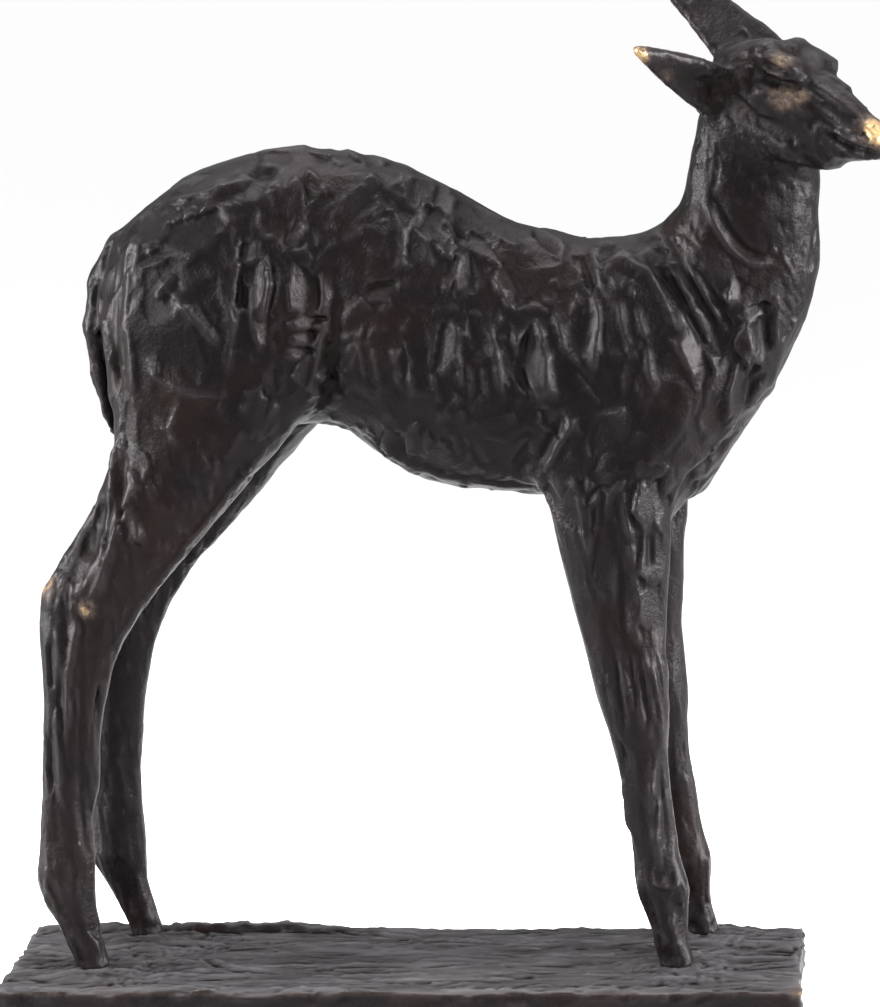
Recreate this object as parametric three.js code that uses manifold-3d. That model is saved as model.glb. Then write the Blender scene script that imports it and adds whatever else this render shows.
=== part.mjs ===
// A standing fawn in cast bronze on a thin hand-modelled plate.
// Millimetres, +Z up. The fawn faces +X and turns its head towards -Y.
// The origin is the middle of the plate's flat underside.
import * as THREE from "three";
import { mergeVertices } from "three/addons/utils/BufferGeometryUtils.js";
import Module from "manifold-3d";

const wasm = await Module();
wasm.setup();
const { clamp, degToRad, lerp, smoothstep } = THREE.MathUtils;

// Plate
const PLATE = { length: 400, width: 108, thickness: 12, step: 6, triangles: 1000 };
const LIP = { rise: 3.2, depth: 10, end: -22, fade: 26 }; // rolled edge along the back, left half
const WAVE = { height: 0.8, length: 58, edge: 0.9 };
const PAD = { rise: 2, radius: 18, fade: 10 }; // flat mound under each hoof
const JOINT_GAP = 0.3;

// Fawn
const MIDDLE = 12; // the fawn's own middle plane, set back from the plate's
const SOLE = PLATE.thickness + PAD.rise + JOINT_GAP;
const CELL = 3;
const TRIANGLES = 8750;

// Trunk: x, top, bottom, half width, height of the widest line
const TRUNK = [
  [-138, 362, 322, 9, 343],
  [-130, 379.5, 303, 20, 343],
  [-116, 393, 293, 29, 345],
  [-94, 407.5, 288, 35, 350],
  [-57, 419, 287, 38, 352],
  [-20, 419.5, 282.5, 36, 340],
  [2, 415, 266.5, 37.5, 330],
  [20, 408.5, 256, 38.5, 322],
  [60, 385.5, 249.5, 40, 312],
  [98, 375, 247, 37, 312],
  [130, 373.5, 250, 33, 312],
  [160, 364, 264, 25, 318],
  [186, 350, 298, 14, 325],
];

// Neck and chest: height, x, off centre, half depth, half width
const NECK = [
  [246, 135, 0, 19, 18],
  [262, 138, 0, 24.5, 22],
  [280, 143.5, 0, 30.5, 26],
  [300, 149.5, 0, 37.5, 28],
  [320, 157.5, 0, 43.5, 28],
  [340, 163.5, 0, 46.5, 27],
  [360, 169.5, -1, 44.8, 25.5],
  [380, 177.2, -2, 37.5, 23.5],
  [392, 181.5, -3, 33.2, 22.5],
  [405, 183.5, -4, 31.6, 21.5],
  [420, 184, -5, 29.2, 20.5],
  [435, 183, -6, 24.6, 18.5],
  [452, 182, -7, 16, 15],
];

// Legs: height, x, off centre, half depth, half width
const FORE_LEG = [
  [8, 139.4, 27.5, 9.4, 8.6],
  [20, 137, 27.5, 8.7, 7.6],
  [31, 134.8, 27.3, 9, 7.2],
  [41, 133.4, 27, 10.8, 8],
  [53, 131.8, 27, 13.2, 9.6],
  [64, 130.3, 26.8, 12, 8.4],
  [90, 127.3, 26.5, 11.4, 7.6],
  [112, 124.5, 26, 12, 8.2],
  [130, 122.2, 25.5, 14.3, 10.4],
  [148, 119.6, 25.2, 17, 12],
  [167, 117, 25, 18.6, 11.2],
  [200, 114.5, 24.5, 23.8, 13.5],
  [225, 112.6, 24, 27.4, 15.5],
  [250, 112, 23.5, 30.8, 17.5],
  [278, 117, 23, 35, 17],
  [305, 126, 22.5, 36, 15.5],
  [335, 125, 22, 27, 13],
  [362, 119, 21, 11, 8],
];
const HIND_LEG = [
  [8, -154.6, 28, 9.2, 8.6],
  [20, -157.7, 28, 8.7, 7.6],
  [30, -160.8, 28, 9.5, 7.4],
  [41, -164.6, 27.8, 11.2, 8],
  [56, -167.4, 27.5, 14.8, 9.8],
  [70, -166.5, 27.2, 14.4, 9],
  [90, -165.6, 26.8, 13.3, 8.4],
  [130, -161.6, 26, 14.5, 8.8],
  [150, -159, 25.6, 15.8, 9.4],
  [170, -155.8, 25.2, 18.6, 10.2],
  [190, -151, 24.8, 23.6, 11],
  [203, -145.6, 24.5, 27.2, 11],
  [213, -138.6, 24.2, 28.2, 11.2],
  [225, -128.3, 24, 30.2, 12.5],
  [255, -105.6, 22.5, 34.6, 17],
  [285, -88, 20.5, 44, 22],
  [310, -84, 19.5, 51, 24.5],
  [345, -84, 18.5, 51, 25],
  [380, -82, 16, 37, 20],
  [402, -78, 13, 20, 12],
];
// How far each leg steps ahead of its table, at the hoof and at the body
const STEPS = {
  near_fore: { side: -1, hoof: 0, body: 0 },
  far_fore: { side: 1, hoof: 10.5, body: 5 },
  near_hind: { side: -1, hoof: 0, body: 0 },
  far_hind: { side: 1, hoof: 18.5, body: 10 },
};
const STEP_HEIGHT = 210;

// Muscles and bones of both sides, as rods: [x, off centre, height, radius] twice, and flatness across
const MUSCLES = [
  [[119, 25, 358, 7], [110, 28, 306, 10], 0.8], // shoulder blade
  [[131, 21, 355, 8], [160, 17, 316, 11], 0.8], // front of the shoulder
  [[99, 25, 330, 13], [92, 25, 272, 13], 0.8], // back of the upper arm
  [[146, 14, 292, 18], [128, 21, 262, 16], 0.9], // breast
  [[-54, 21, 368, 16], [-38, 24, 312, 12], 0.9], // front of the thigh
  [[-104, 18, 370, 19], [-114, 19, 302, 14], 0.9], // back of the thigh
  [[-44, 17, 394, 13], [-72, 18, 388, 18], 0.9], // hip
  [[176, 8, 424, 12], [154, 19, 340, 14], 0.8], // side of the neck
  [[-118, 29, 262, 8], [-148, 31, 203, 5.5], 1], // shin and outer ankle
  [[-128.5, 23.5, 262, 4], [-162.5, 24.5, 206, 5], 0.9], // heel tendon
  [[125, 30, 172, 7], [128, 30, 136, 6], 0.8], // knee
];
// Hollows of both sides, in the same form
const HOLLOWS = [
  [[-134, 38, 252, 3], [-156, 36.5, 220, 5], 1], // between shin and heel tendon
  [[-134, 8, 252, 3], [-156, 10.5, 220, 5], 1],
  [[-14, 48, 344, 8], [-21, 44, 310, 10], 1], // flank before the thigh
  [[70, 54, 356, 12], [72, 50, 282, 9], 1], // behind the shoulder
  [[146, 42, 366, 12], [176, 35, 322, 10], 1], // before the shoulder
  [[-166.5, 38.5, 176, 3], [-170, 39, 84, 3], 1], // along the hind shank
];

// Tail: x, height, radius
const TAIL = [
  [-128, 374, 7.5],
  [-140, 356, 6.5],
  [-143.6, 335, 5.6],
  [-142.2, 312, 4.8],
  [-139.5, 292, 3.8],
  [-136.5, 281, 2.5],
];
const TAIL_FLATNESS = 1.25;

// Head frame: its origin in the skull, and its turn and nod in degrees
const HEAD = { x: 180.5, y: 5, z: 451.5, turn: 34, nod: 16.3 };
// Along the head from skull to nose: place, top, bottom, half width, height of the widest line
const SKULL = [
  [-15, 6, -8, 6, -1],
  [-9, 13, -14, 12, 2],
  [2, 19, -22, 16, 3],
  [14, 22, -27, 17.5, 4],
  [26, 21.5, -30, 18, 4],
  [36, 18.5, -31, 16.5, 2],
  [47, 14.5, -31, 14, -3],
  [58, 10, -28, 11.8, -6],
  [68, 6, -21, 10.6, -7],
  [77, 3, -16.5, 9.8, -7],
  [84, -0.5, -13.5, 7.5, -6.5],
  [88, -5, -11, 3.5, -7],
];
// Bones of the face, as rods in the head frame: [along, off centre, height, radius] twice
const FACE = [
  [[17, 13.5, 17, 6], [35, 15.5, 14, 5], 1], // brow
  [[22, 14.5, -1, 6], [46, 11.5, -4, 4], 1], // cheekbone
  [[10, 10, -20, 9], [40, 9, -23, 6], 1], // jaw
];
const EYE_HOLLOW = [[27, 21, 7, 4], [37, 19, 6.5, 4.5], 1];

// Ears in the part's own frame: root, tip, the way the hollow faces, half width at the root
const EARS = [
  { root: [170, -4, 444], tip: [132.5, -42.5, 468.5], faces: [0.45, -0.85, -0.3], half: 12.5 },
  { root: [188, 16, 455], tip: [135.5, 33.5, 508], faces: [0.5, -0.8, 0.35], half: 17.5 },
];
const EAR = { thickness: 4.5, cup: 4, tip: 0.04, edge: 1.7 };

// Modelling strokes: shallow scoops that meet in soft ridges, lighter on the legs and the head
const SCOOP = { spacing: 19, depth: 1.7, reach: 9, lightBelow: 190, lightAbove: 425, light: 0.45 };

const BRONZE = { color: 0x2b2524, roughness: 0.45, metalness: 0.85 };

// Distances: negative inside, positive outside

function softUnion(a, b, reach) {
  const h = Math.max(reach - Math.abs(a - b), 0);
  return Math.min(a, b) - (h * h) / (4 * reach);
}

function softCut(a, b, reach) {
  return -softUnion(-a, b, reach);
}

function ellipseDistance(u, v, a, b) {
  const slope = Math.hypot(u / (a * a), v / (b * b));
  if (slope < 1e-9) return -Math.min(a, b);
  const share = Math.hypot(u / a, v / b);
  return (share * (share - 1)) / slope;
}

function capped(distance, beyond) {
  return beyond > 0 ? Math.hypot(Math.max(distance, 0), beyond) : distance;
}

// Smooth curves through the rows of a table, by each row's first number.
function through(rows) {
  const size = rows[0].length - 1;
  const curve = new THREE.CubicInterpolant(
    rows.map((row) => row[0]),
    rows.flatMap((row) => row.slice(1)),
    size,
    new Float64Array(size),
  );
  const first = rows[0][0];
  const last = rows[rows.length - 1][0];
  return { first, last, at: (t) => curve.evaluate(clamp(t, first, last)) };
}

// A body lying along an axis: sections across it with their own top, bottom, width and widest line.
function barrel(rows) {
  const table = through(rows);
  return (along, side, up) => {
    const [top, bottom, half, widest] = table.at(along);
    const v = up - widest;
    const flat = ellipseDistance(side, v, half, v > 0 ? top - widest : widest - bottom);
    return capped(flat, Math.max(table.first - along, along - table.last));
  };
}

// A standing limb: level sections, stepping ahead by its own lean.
function column(rows, side = 1, lean = () => 0) {
  const table = through(rows);
  return (x, y, z) => {
    const [middle, off, depth, half] = table.at(z);
    const flat = ellipseDistance(x - middle - lean(z), y - side * off, depth, half);
    return capped(flat, Math.max(table.first - z, z - table.last));
  };
}

// A tapering rod with round ends, flattened across.
function rod([[ax, ay, az, ra], [bx, by, bz, rb], flatness]) {
  const d = new THREE.Vector3(bx - ax, by - ay, bz - az);
  const q = new THREE.Vector3();
  return (x, y, z) => {
    q.set(x - ax, y - ay, z - az);
    const t = clamp(q.dot(d) / d.lengthSq(), 0, 1);
    q.addScaledVector(d, -t);
    q.y /= flatness;
    return q.length() - lerp(ra, rb, t);
  };
}

// A leaf-shaped ear, cupped towards the way it faces.
function ear({ root, tip, faces, half }) {
  const from = new THREE.Vector3(...root);
  const axis = new THREE.Vector3(...tip).sub(from);
  const length = axis.length();
  axis.normalize();
  const front = new THREE.Vector3(...faces);
  front.addScaledVector(axis, -front.dot(axis)).normalize();
  const across = new THREE.Vector3().crossVectors(axis, front);
  const p = new THREE.Vector3();
  return (x, y, z) => {
    p.set(x, y, z).sub(from);
    const along = p.dot(axis);
    const t = clamp(along / length, 0, 1);
    const leaf = Math.max(Math.pow(1 - t, 0.8) * (0.9 + 0.4 * t), EAR.tip);
    const u = p.dot(across);
    const v = p.dot(front) - EAR.cup * (u / half) ** 2 + 1.5;
    const flat = ellipseDistance(u, v, half * leaf, EAR.thickness * (1 - 0.6 * t));
    return capped(flat, Math.max(-along, along - length)) - EAR.edge;
  };
}

const trunk = barrel(TRUNK);
const neck = column(NECK);
const legs = Object.entries(STEPS).map(([name, { side, hoof, body }]) => {
  const lean = (z) => lerp(hoof, body, Math.min(z / STEP_HEIGHT, 1));
  return column(name.endsWith("fore") ? FORE_LEG : HIND_LEG, side, lean);
});
const muscles = MUSCLES.map(rod);
const hollows = HOLLOWS.map(rod);
const tail = TAIL.slice(1).map(([x, z, r], i) => {
  const [fromX, fromZ, fromR] = TAIL[i];
  return rod([[fromX, 0, fromZ, fromR], [x, 0, z, r], TAIL_FLATNESS]);
});
const ears = EARS.map(ear);

const skull = barrel(SKULL);
const face = FACE.map(rod);
const eyeHollow = rod(EYE_HOLLOW);
const turn = degToRad(HEAD.turn);
const nod = degToRad(HEAD.nod);
const forward = new THREE.Vector3(
  Math.cos(turn) * Math.cos(nod),
  -Math.sin(turn) * Math.cos(nod),
  -Math.sin(nod),
);
const right = new THREE.Vector3(-Math.sin(turn), -Math.cos(turn), 0);
const upward = new THREE.Vector3().crossVectors(right, forward);

function head(x, y, z) {
  const p = new THREE.Vector3(x - HEAD.x, y - HEAD.y, z - HEAD.z);
  const along = p.dot(forward);
  const side = Math.abs(p.dot(right));
  const up = p.dot(upward);
  let d = skull(along, side, up);
  for (const bone of face) d = softUnion(d, bone(along, side, up), 6);
  return softCut(d, eyeHollow(along, side, up), 4);
}

// How far ahead the legs of one side stand, for the muscles and hollows that ride on them.
function stepAt(x, y, z) {
  const { hoof, body } = y < 0 ? STEPS.near_fore : x > 0 ? STEPS.far_fore : STEPS.far_hind;
  return z > STEP_HEIGHT + 60 ? 0 : lerp(hoof, body, Math.min(z / STEP_HEIGHT, 1));
}

// A repeatable number from 0 to 1 for one cell of the lattice of strokes.
function chance(i, j, k, n) {
  const wave = Math.sin(127.1 * i + 311.7 * j + 74.7 * k + 19.19 * n) * 43758.5453;
  return wave - Math.floor(wave);
}

// Depth of the modelling strokes at a point: deepest in the middle of a scoop, none on the ridges.
function scoopAt(x, y, z) {
  const at = [x, y, z].map((value) => value / SCOOP.spacing);
  const cell = at.map(Math.floor);
  let nearest = 1;
  for (let n = 0; n < 27; n++) {
    const i = cell[0] + (n % 3) - 1;
    const j = cell[1] + (Math.floor(n / 3) % 3) - 1;
    const k = cell[2] + Math.floor(n / 9) - 1;
    const dx = at[0] - i - chance(i, j, k, 1);
    const dy = at[1] - j - chance(i, j, k, 2);
    const dz = at[2] - k - chance(i, j, k, 3);
    nearest = Math.min(nearest, dx * dx + dy * dy + dz * dz + 0.25 * chance(i, j, k, 4));
  }
  const low = smoothstep(z, SCOOP.lightBelow, SCOOP.lightBelow + 60);
  const high = 1 - smoothstep(z, SCOOP.lightAbove - 40, SCOOP.lightAbove);
  return SCOOP.depth * lerp(SCOOP.light, 1, low * high) * (0.45 - nearest);
}

function fawn(x, y, z) {
  const side = y - MIDDLE;
  const off = Math.abs(side);
  const back = x - stepAt(x, side, z);
  let d = softUnion(trunk(x, side, z), neck(x, side, z), 20);
  for (const leg of legs) d = softUnion(d, leg(x, side, z), 12);
  for (const muscle of muscles) d = softUnion(d, muscle(back, off, z), 9);
  for (const hollow of hollows) d = softCut(d, hollow(back, off, z), 6);
  d = softUnion(d, head(x, y, z), 9);
  for (const link of tail) d = softUnion(d, link(x, side, z), 3);
  for (const lobe of ears) d = softUnion(d, lobe(x, y, z), 5);
  return Math.abs(d) < SCOOP.reach ? d + scoopAt(x, y, z) : d;
}

// Turns a distance into a closed skin, with one corner in each cell that the surface crosses.
function skinOf(distance, box, cell) {
  const count = box.getSize(new THREE.Vector3()).divideScalar(cell).ceil().addScalar(1);
  const [nx, ny, nz] = count.toArray();
  const index = (i, j, k) => i + nx * (j + ny * k);
  const place = (n, axis) => box.min.getComponent(axis) + n * cell;
  const field = new Float64Array(nx * ny * nz);
  for (let k = 0; k < nz; k++)
    for (let j = 0; j < ny; j++)
      for (let i = 0; i < nx; i++) {
        field[index(i, j, k)] = distance(place(i, 0), place(j, 1), place(k, 2));
      }
  fillPinches(field, [1, nx, nx * ny]);

  const corners = [];
  const known = new Map();
  const offsets = [0, 1, 2, 3, 4, 5, 6, 7].map((n) => [n & 1, (n >> 1) & 1, n >> 2]);
  const cornerIn = (i, j, k) => {
    const key = index(i, j, k);
    if (known.has(key)) return known.get(key);
    const sum = new THREE.Vector3();
    let crossings = 0;
    for (let a = 0; a < 8; a++)
      for (const bit of [1, 2, 4]) {
        if (a & bit) continue;
        const [p, q] = [offsets[a], offsets[a | bit]];
        const va = field[index(i + p[0], j + p[1], k + p[2])];
        const vb = field[index(i + q[0], j + q[1], k + q[2])];
        if (va < 0 === vb < 0) continue;
        const t = va / (va - vb);
        sum.x += place(i + lerp(p[0], q[0], t), 0);
        sum.y += place(j + lerp(p[1], q[1], t), 1);
        sum.z += place(k + lerp(p[2], q[2], t), 2);
        crossings++;
      }
    corners.push(settle(sum.divideScalar(crossings), distance, cell));
    known.set(key, corners.length - 1);
    return corners.length - 1;
  };

  const faces = [];
  const steps = [[1, 0, 0], [0, 1, 0], [0, 0, 1]];
  for (let k = 1; k < nz - 1; k++)
    for (let j = 1; j < ny - 1; j++)
      for (let i = 1; i < nx - 1; i++)
        for (let axis = 0; axis < 3; axis++) {
          const [a, b, c] = [steps[axis], steps[(axis + 1) % 3], steps[(axis + 2) % 3]];
          const inside = field[index(i, j, k)] < 0;
          if (inside === field[index(i + a[0], j + a[1], k + a[2])] < 0) continue;
          const ring = [[0, 0], [1, 0], [1, 1], [0, 1]].map(([m, n]) =>
            cornerIn(i - m * b[0] - n * c[0], j - m * b[1] - n * c[1], k - m * b[2] - n * c[2]),
          );
          if (!inside) ring.reverse();
          faces.push([ring[0], ring[1], ring[2]], [ring[0], ring[2], ring[3]]);
        }
  return { corners, faces };
}

// Fills the pinches, where two solid corners of a cell's face meet across two open ones.
function fillPinches(field, strides) {
  let filled = true;
  while (filled) {
    filled = false;
    for (let axis = 0; axis < 3; axis++) {
      const [a, b] = [strides[axis], strides[(axis + 1) % 3]];
      for (let n = 0; n + a + b < field.length; n++) {
        const first = field[n] < 0;
        const alike = first === field[n + a + b] < 0;
        if (!alike || first === field[n + a] < 0 || first === field[n + b] < 0) continue;
        const open = first ? [n + a, n + b] : [n, n + a + b];
        const nearest = field[open[0]] < field[open[1]] ? open[0] : open[1];
        field[nearest] = -0.01;
        filled = true;
      }
    }
  }
}

// Moves a corner onto the surface along the slope of the distance.
function settle(point, distance, cell) {
  const e = 0.05 * cell;
  const slope = new THREE.Vector3();
  for (let round = 0; round < 3; round++) {
    const { x, y, z } = point;
    slope.set(
      distance(x + e, y, z) - distance(x - e, y, z),
      distance(x, y + e, z) - distance(x, y - e, z),
      distance(x, y, z + e) - distance(x, y, z - e),
    );
    slope.divideScalar(2 * e);
    const step = -distance(x, y, z) / Math.max(slope.lengthSq(), 0.2);
    point.addScaledVector(slope, clamp(step, -0.3 * cell, 0.3 * cell));
  }
  return point;
}

// The squared distance to a set of planes, as the ten numbers of a symmetric form.
function planeForm(normal, offset, weight) {
  const n = [normal.x, normal.y, normal.z, offset];
  const form = [];
  for (let i = 0; i < 4; i++) for (let j = i; j < 4; j++) form.push(weight * n[i] * n[j]);
  return form;
}

function formAt(q, { x, y, z }) {
  const squares = q[0] * x * x + q[4] * y * y + q[7] * z * z + q[9];
  const mixed = q[1] * x * y + q[2] * x * z + q[5] * y * z + q[3] * x + q[6] * y + q[8] * z;
  return squares + 2 * mixed;
}

function lowestPoint(q, a, b) {
  const middle = a.clone().lerp(b, 0.5);
  const m = new THREE.Matrix3().set(q[0], q[1], q[2], q[1], q[4], q[5], q[2], q[5], q[7]);
  const size = (q[0] + q[4] + q[7]) / 3;
  if (Math.abs(m.determinant()) < 1e-3 * size ** 3) return middle;
  const lowest = new THREE.Vector3(-q[3], -q[6], -q[8]).applyMatrix3(m.invert());
  return lowest.distanceTo(middle) > a.distanceTo(b) ? middle : lowest;
}

// A heap that gives back its cheapest item first.
class Queue {
  items = [];
  push(item) {
    let n = this.items.push(item) - 1;
    while (n > 0) {
      const parent = (n - 1) >> 1;
      if (this.items[parent].cost <= item.cost) break;
      this.items[n] = this.items[parent];
      n = parent;
    }
    this.items[n] = item;
  }
  pop() {
    const first = this.items[0];
    const item = this.items.pop();
    const size = this.items.length;
    if (size === 0) return first;
    let n = 0;
    for (;;) {
      let child = 2 * n + 1;
      if (child >= size) break;
      if (child + 1 < size && this.items[child + 1].cost < this.items[child].cost) child++;
      if (this.items[child].cost >= item.cost) break;
      this.items[n] = this.items[child];
      n = child;
    }
    this.items[n] = item;
    return first;
  }
}

// Draws the edges together that change the form least, until the wanted number of faces is left.
function thinned(skin, wanted) {
  const corners = skin.corners.map((corner) => corner.clone());
  const faces = skin.faces.map((corner) => corner.slice());
  const around = corners.map(() => new Set());
  const forms = corners.map(() => new Array(10).fill(0));
  const stamps = corners.map(() => 0);
  const triangle = new THREE.Triangle();
  const faceOf = (ring) => triangle.setFromPointsAndIndices(corners, ...ring);
  const normalOf = (ring) => faceOf(ring).getNormal(new THREE.Vector3());
  faces.forEach((ring, n) => {
    const normal = normalOf(ring);
    const form = planeForm(normal, -normal.dot(corners[ring[0]]), triangle.getArea());
    for (const c of ring) {
      around[c].add(n);
      forms[c] = forms[c].map((value, i) => value + form[i]);
    }
  });

  const queue = new Queue();
  const offer = (a, b) => {
    const form = forms[a].map((value, i) => value + forms[b][i]);
    const point = lowestPoint(form, corners[a], corners[b]);
    queue.push({ cost: formAt(form, point), a, b, point, form, stamp: [stamps[a], stamps[b]] });
  };
  const beside = (c) => new Set([...around[c]].flatMap((n) => faces[n]).filter((o) => o !== c));
  const turnsOver = (c, other, point) => {
    const kept = corners[c];
    for (const n of around[c]) {
      if (faces[n].includes(other)) continue;
      const before = normalOf(faces[n]);
      corners[c] = point;
      const after = normalOf(faces[n]);
      corners[c] = kept;
      if (before.dot(after) < 0.35) return true;
    }
    return false;
  };

  corners.forEach((_, a) => beside(a).forEach((b) => a < b && offer(a, b)));
  let left = faces.length;
  while (left > wanted && queue.items.length > 0) {
    const { a, b, point, form, stamp } = queue.pop();
    if (stamp[0] !== stamps[a] || stamp[1] !== stamps[b]) continue;
    const others = beside(b);
    if ([...beside(a)].filter((c) => others.has(c)).length !== 2) continue;
    if (turnsOver(a, b, point) || turnsOver(b, a, point)) continue;
    corners[a] = point;
    forms[a] = form;
    stamps[a]++;
    stamps[b]++;
    for (const n of around[b]) {
      if (faces[n].includes(a)) {
        for (const c of faces[n]) if (c !== b) around[c].delete(n);
        faces[n] = null;
        left--;
      } else {
        faces[n][faces[n].indexOf(b)] = a;
        around[a].add(n);
      }
    }
    around[b].clear();
    beside(a).forEach((c) => offer(a, c));
  }
  const kept = faces.filter((ring) => ring !== null);
  const used = [...new Set(kept.flat())];
  const place = new Map(used.map((c, n) => [c, n]));
  return { corners: used.map((c) => corners[c]), faces: kept.map((ring) => ring.map((c) => place.get(c))) };
}

// Solids and meshes

function solidOf(geometry) {
  geometry.deleteAttribute("normal");
  geometry.deleteAttribute("uv");
  const merged = mergeVertices(geometry, 1e-4);
  const mesh = new wasm.Mesh({
    numProp: 3,
    vertProperties: Float32Array.from(merged.attributes.position.array),
    triVerts: Uint32Array.from(merged.index.array),
  });
  return new wasm.Manifold(mesh);
}

function geometryOf(skin) {
  const geometry = new THREE.BufferGeometry().setFromPoints(skin.corners);
  geometry.setIndex(skin.faces.flat());
  return geometry;
}

function named(name, geometry) {
  geometry.computeVertexNormals();
  const mesh = new THREE.Mesh(geometry, new THREE.MeshStandardMaterial(BRONZE));
  mesh.name = name;
  return mesh;
}

// The fawn, with its hooves cut flat where they stand
function fawnGeometry() {
  const box = new THREE.Box3(new THREE.Vector3(-196, -62, 2), new THREE.Vector3(262, 66, 522));
  const skin = thinned(skinOf(fawn, box, CELL), TRIANGLES);
  const ground = new THREE.BoxGeometry(600, 300, 40);
  ground.translate(0, 0, SOLE - 20);
  const mesh = solidOf(geometryOf(skin)).subtract(solidOf(ground)).getMesh();
  const geometry = new THREE.BufferGeometry();
  geometry.setAttribute("position", new THREE.BufferAttribute(mesh.vertProperties, 3));
  geometry.setIndex(new THREE.BufferAttribute(mesh.triVerts, 1));
  return geometry;
}

// The plate's modelled top: waves, the rolled back edge and the mounds under the hooves
const hooves = Object.entries(STEPS).map(([name, { side, hoof }]) => {
  const [, x, off] = name.endsWith("fore") ? FORE_LEG[0] : HIND_LEG[0];
  return new THREE.Vector2(x + hoof, MIDDLE + side * off);
});

function topAt(x, y) {
  const turnX = (2 * Math.PI * x) / WAVE.length;
  const turnY = (2 * Math.PI * y) / WAVE.length;
  const wave = Math.sin(0.45 * turnX + 0.6 * Math.sin(turnY)) * Math.cos(1.7 * turnY + 0.3 * turnX);
  const toBack = smoothstep(y, PLATE.width / 2 - LIP.depth, PLATE.width / 2);
  const alongBack = 1 - smoothstep(x, LIP.end - LIP.fade, LIP.end);
  const ground = WAVE.height * wave + LIP.rise * toBack * alongBack;
  const near = Math.min(...hooves.map((hoof) => Math.hypot(x - hoof.x, y - hoof.y)));
  const pad = 1 - smoothstep(near, PAD.radius, PAD.radius + PAD.fade);
  return PLATE.thickness + lerp(ground, PAD.rise, pad);
}

function plateGeometry() {
  const { length, width, thickness, step, triangles } = PLATE;
  const cells = [length, width].map((size) => Math.round(size / step));
  const box = new THREE.BoxGeometry(length, width, thickness, ...cells, 1);
  box.translate(0, 0, thickness / 2);
  box.deleteAttribute("normal");
  box.deleteAttribute("uv");
  const grid = mergeVertices(box, 1e-4);
  const corners = [];
  for (let n = 0; n < grid.attributes.position.count; n++) {
    const corner = new THREE.Vector3().fromBufferAttribute(grid.attributes.position, n);
    const { x, y, z } = corner;
    if (z > 0) corner.z = topAt(x, y);
    if (Math.abs(y) > width / 2 - 0.1) corner.y -= Math.sign(y) * WAVE.edge * (1 + Math.sin(0.07 * x + y));
    if (Math.abs(x) > length / 2 - 0.1) corner.x -= Math.sign(x) * WAVE.edge * Math.sin(0.04 * y + x) ** 2;
    corners.push(corner);
  }
  const faces = [];
  for (let n = 0; n < grid.index.count; n += 3) faces.push([0, 1, 2].map((i) => grid.index.getX(n + i)));
  const skin = thinned({ corners, faces }, triangles);
  for (const corner of skin.corners) if (corner.z < 0.05) corner.z = 0;
  return geometryOf(skin);
}

const sculpture = new THREE.Group();
sculpture.name = "standing_fawn";
sculpture.add(named("deer", fawnGeometry()));
sculpture.add(named("base_plate", plateGeometry()));

export default sculpture;
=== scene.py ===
import math
from collections import namedtuple

import bmesh
import bpy
import numpy as np
from mathutils import Matrix, Vector, kdtree


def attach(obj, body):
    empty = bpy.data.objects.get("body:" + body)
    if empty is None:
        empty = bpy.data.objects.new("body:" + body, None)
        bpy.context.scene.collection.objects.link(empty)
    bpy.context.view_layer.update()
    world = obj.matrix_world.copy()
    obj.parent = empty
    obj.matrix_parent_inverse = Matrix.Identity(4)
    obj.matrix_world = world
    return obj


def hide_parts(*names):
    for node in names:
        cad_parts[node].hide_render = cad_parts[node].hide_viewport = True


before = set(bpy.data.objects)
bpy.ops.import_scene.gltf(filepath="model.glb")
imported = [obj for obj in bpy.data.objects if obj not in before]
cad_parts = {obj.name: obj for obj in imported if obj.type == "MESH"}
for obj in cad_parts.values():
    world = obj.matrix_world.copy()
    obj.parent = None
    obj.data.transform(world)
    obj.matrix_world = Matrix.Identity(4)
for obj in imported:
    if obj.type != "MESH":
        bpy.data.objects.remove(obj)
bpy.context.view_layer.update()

MM = 0.001
SEED = 11

# Camera, in metres and degrees, for an 880 x 1007 picture
CAMERA = {"place": (0.2479, -1.9172, 0.6271), "yaw": 6.59, "pitch": 11.18, "roll": -2.1}
PICTURE = (880, 1007)
FOCAL_PIXELS = 4000

# Studio light: the beams of the soft boxes in degrees, and the strengths of the room and the sky
SPREAD = 42.0
ROOM = 0.36
SKY = {"strength": 2.6, "width": 90.0, "tilt": (-16.0, -6.0)}
Box = namedtuple("Box", "name place towards size power")
BOXES = [
    Box("left softbox", (-1.6, -0.25, 0.55), (0, 0, 0.3), (0.6, 1.0), 12),
    Box("right softbox", (1.7, -0.25, 0.55), (0.1, 0, 0.3), (0.6, 1.0), 16),
    Box("left front softbox", (-1.15, -1.25, 0.8), (0, 0, 0.34), (0.35, 0.8), 3.2),
    Box("right front softbox", (1.25, -1.2, 0.8), (0.1, 0, 0.34), (0.35, 0.8), 3.2),
    Box("top softbox", (0.05, -0.1, 1.9), (0.05, 0, 0.3), (1.5, 0.8), 9.5),
]

# Skins, in millimetres, and the most triangles a finished piece keeps
DEER_VOXEL = 1.25
PLATE_VOXEL = 1.4
TRIANGLES = 192000

# How far the hooves sink into the plate, and the height below which they are left smooth
HOOF_SINK = 0.9
HOOF_TOP = 15.6

# How many sides a facet has, and how many strokes of each kind there are
FACET_SIDES = 6
STROKES = 6000
LARGE_FACETS = 230
FACE_CRUMBS = 520
BODY_CRUMBS = 700
PLATE_STROKES = 1100
HOOF_STROKES = 90
EDGE_STROKES = 260

# The fawn's middle plane and its head frame, as in the solids
MIDDLE = 12.0
HEAD = {"origin": (180.5, 5.0, 451.5), "turn": 34.0, "nod": 16.3}
EARS = {
    "near": ((170.0, -4.0, 444.0), (132.5, -42.5, 468.5)),
    "far": ((188.0, 16.0, 455.0), (135.5, 33.5, 508.0)),
}
TAIL = {"front": -131.0, "low": 272.0, "high": 384.0, "half": 9.0}

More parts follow.
